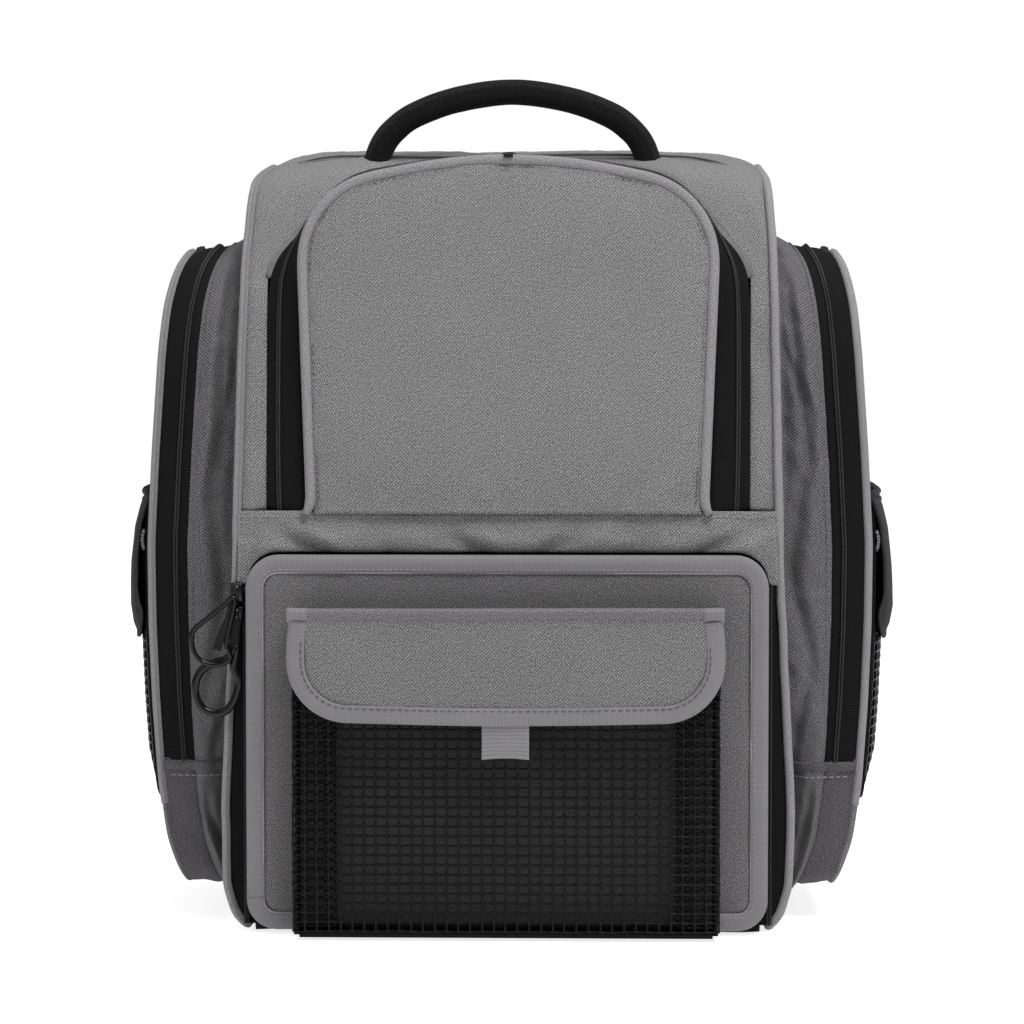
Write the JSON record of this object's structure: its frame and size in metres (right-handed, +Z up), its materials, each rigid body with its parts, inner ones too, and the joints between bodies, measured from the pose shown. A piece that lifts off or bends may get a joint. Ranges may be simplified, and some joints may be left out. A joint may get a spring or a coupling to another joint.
{
  "type": "tackle backpack",
  "caption": "Boxy two-compartment tackle backpack with arched leaning lid, zip-down front door, mesh pocket under a flap, arched side pockets, carry handle and shoulder straps.",
  "frame": {"origin": "on the ground, at the middle of the pack's base panel", "axes": "+Z up, front (lid, door and mesh pocket) towards -Y, the wearer's back towards +Y, +X to the right as seen from the front"},
  "size_m": [0.444, 0.3014, 0.481],
  "materials": {
    "grey_cloth": "matt twill-woven polyester, lined and foamed",
    "pale_binding": "light grey ribbed binding and corded piping",
    "dark_cloth": "charcoal woven cloth over foam",
    "black_webbing": "black ribbed webbing",
    "zip_tape": "black coil-zip tape",
    "pvc_mesh": "black coated square mesh",
    "black_plastic": "black moulded plastic",
    "glossy_cord": "glossy black coated cord",
    "frame_sheet": "thin stiffening sheet",
    "tray_plastic": "clear tray plastic"
  },
  "bodies": {
    "pack": {"base_panel": "dark_cloth", "base_board": "frame_sheet", "back_panel": "dark_cloth", "back_board": "frame_sheet", "top_gusset": "grey_cloth", "divider_shelf": "dark_cloth", "upper_zip_collar": "zip_tape", "lower_zip_tape": "zip_tape", "side_panel_left": "grey_cloth", "side_panel_right": "grey_cloth", "body_piping_left": "pale_binding", "body_piping_right": "pale_binding", "side_pocket_left": "grey_cloth", "side_pocket_right": "grey_cloth", "handle_patch_left": "grey_cloth", "handle_patch_right": "grey_cloth", "lumbar_pad": "dark_cloth", "strap_yoke": "dark_cloth", "back_pad_left": "dark_cloth", "back_pad_right": "dark_cloth", "strap_anchor_left": "black_webbing", "strap_anchor_right": "black_webbing", "tackle_tray_1": "tray_plastic", "tackle_tray_2": "tray_plastic", "tackle_tray_3": "tray_plastic", "tackle_tray_4": "tray_plastic"},
    "upper_lid": {"lid_panel": "grey_cloth", "lid_piping": "pale_binding", "lid_gusset": "zip_tape"},
    "lid_slider": {"lid_slider": "black_plastic"},
    "lower_door": {"lower_door_panel": "grey_cloth", "lower_door_binding": "pale_binding", "lower_door_zip": "zip_tape", "front_mesh_pocket": "pvc_mesh"},
    "pocket_flap": {"flap_panel": "grey_cloth", "flap_binding": "pale_binding", "flap_tab": "pale_binding"},
    "door_slider_upper": {"door_slider_upper": "black_plastic"},
    "pull_loop_upper": {"pull_loop_upper": "glossy_cord"},
    "door_slider_lower": {"door_slider_lower": "black_plastic"},
    "pull_loop_lower": {"pull_loop_lower": "glossy_cord"},
    "handle": {"handle_grip": "dark_cloth"},
    "side_door_left": {"side_door_panel_left": "grey_cloth", "side_door_piping_left": "pale_binding", "side_door_zip_left": "zip_tape", "side_mesh_pocket_left": "pvc_mesh"},
    "side_flap_left": {"side_flap_left": "dark_cloth"},
    "side_slider_left": {"side_slider_left": "black_plastic"},
    "strap_left": {"shoulder_strap_left": "dark_cloth", "ladder_lock_left": "black_plastic", "strap_webbing_left": "black_webbing"},
    "side_door_right": {"side_door_panel_right": "grey_cloth", "side_door_piping_right": "pale_binding", "side_door_zip_right": "zip_tape", "side_mesh_pocket_right": "pvc_mesh"},
    "side_flap_right": {"side_flap_right": "dark_cloth"},
    "side_slider_right": {"side_slider_right": "black_plastic"},
    "strap_right": {"shoulder_strap_right": "dark_cloth", "ladder_lock_right": "black_plastic", "strap_webbing_right": "black_webbing"}
  },
  "joints": [
    {"name": "lower_door_hinge", "type": "hinge", "parent": "pack", "child": "lower_door", "pos_m": [0, -0.097, 0.006], "axis": [1, 0, 0], "range_deg": [0, 85]},
    {"name": "pocket_flap_hinge", "type": "hinge", "parent": "lower_door", "child": "pocket_flap", "pos_m": [0, -0.137, 0.184], "axis": [-1, 0, 0], "range_deg": [0, 115]},
    {"name": "upper_lid_hinge", "type": "hinge", "parent": "pack", "child": "upper_lid", "pos_m": [0, -0.101, 0.234], "axis": [1, 0, 0], "range_deg": [0, 90]},
    {"name": "lid_zip_slider", "type": "hinge", "parent": "upper_lid", "child": "lid_slider", "pos_m": [0, -0.11311, 0.13675], "axis": [0, -0.9923, 0.1236], "range_deg": [-9, 9]},
    {"name": "door_zip_slider_upper", "type": "slide", "parent": "pack", "child": "door_slider_upper", "axis": [0, 0, 1], "range_m": [0, 0.012]},
    {"name": "pull_loop_upper_swing", "type": "hinge", "parent": "door_slider_upper", "child": "pull_loop_upper", "pos_m": [-0.1515, -0.1088, 0.188], "axis": [0, 1, 0], "range_deg": [-5, 70]},
    {"name": "door_zip_slider_lower", "type": "slide", "parent": "pack", "child": "door_slider_lower", "axis": [0, 0, 1], "range_m": [-0.15, 0]},
    {"name": "pull_loop_lower_swing", "type": "hinge", "parent": "door_slider_lower", "child": "pull_loop_lower", "pos_m": [-0.1515, -0.1052, 0.176], "axis": [0, 1, 0], "range_deg": [-5, 75]},
    {"name": "handle_swing", "type": "hinge", "parent": "pack", "child": "handle", "pos_m": [0, 0.01, 0.446], "axis": [1, 0, 0], "range_deg": [-60, 60]},
    {"name": "side_door_left_hinge", "type": "hinge", "parent": "pack", "child": "side_door_left", "pos_m": [-0.2105, 0.005, 0.0645], "axis": [0, -1, 0], "range_deg": [0, 100]},
    {"name": "side_flap_left_hinge", "type": "hinge", "parent": "side_door_left", "child": "side_flap_left", "pos_m": [-0.2168, 0.005, 0.2415], "axis": [0, 1, 0], "range_deg": [0, 110]},
    {"name": "side_zip_slider_left", "type": "hinge", "parent": "side_door_left", "child": "side_slider_left", "pos_m": [-0.201, 0.005, 0.315], "axis": [1, 0, 0], "range_deg": [-12, 12]},
    {"name": "side_door_right_hinge", "type": "hinge", "parent": "pack", "child": "side_door_right", "pos_m": [0.2105, 0.005, 0.0645], "axis": [0, 1, 0], "range_deg": [0, 100]},
    {"name": "side_flap_right_hinge", "type": "hinge", "parent": "side_door_right", "child": "side_flap_right", "pos_m": [0.2168, 0.005, 0.2415], "axis": [0, -1, 0], "range_deg": [0, 110]},
    {"name": "side_zip_slider_right", "type": "hinge", "parent": "side_door_right", "child": "side_slider_right", "pos_m": [0.201, 0.005, 0.315], "axis": [1, 0, 0], "range_deg": [-12, 12]},
    {"name": "strap_left_swing", "type": "hinge", "parent": "pack", "child": "strap_left", "pos_m": [-0.055, 0.1005, 0.404], "axis": [-0.173, 0, -0.9849], "range_deg": [-12, 12]},
    {"name": "strap_right_swing", "type": "hinge", "parent": "pack", "child": "strap_right", "pos_m": [0.055, 0.1005, 0.404], "axis": [0.173, 0, -0.9849], "range_deg": [-12, 12]}
  ]
}
